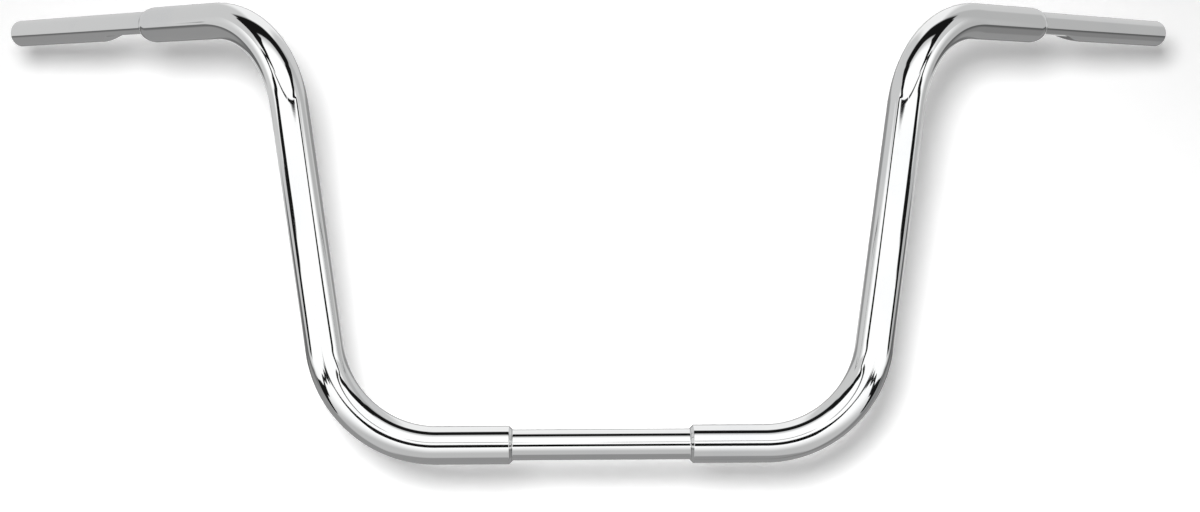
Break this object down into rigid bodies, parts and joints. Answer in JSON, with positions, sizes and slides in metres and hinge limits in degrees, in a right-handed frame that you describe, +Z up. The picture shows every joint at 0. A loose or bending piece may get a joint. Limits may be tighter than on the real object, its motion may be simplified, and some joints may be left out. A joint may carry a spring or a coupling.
{
  "type": "motorcycle handlebar",
  "caption": "Wide swept-back motorcycle handlebar: a slim clamp tube, two thick twice-bent risers and slim grip tubes with a wire recess underneath.",
  "frame": {"origin": "middle of the bare clamp section, on its axis", "axes": "+X along the clamp section to the rider's left, +Y back to the rider, +Z up; the risers lean back by 14.2 degrees as they would be installed"},
  "size_m": [1.151, 0.3427, 0.3787],
  "materials": {
    "chrome_plate": "bright mirror chrome plating on steel tube"
  },
  "bodies": {
    "root": {"clamp_tube": "chrome_plate", "right_riser_tube": "chrome_plate", "left_riser_tube": "chrome_plate", "right_grip_tube": "chrome_plate", "left_grip_tube": "chrome_plate"}
  },
  "joints": []
}
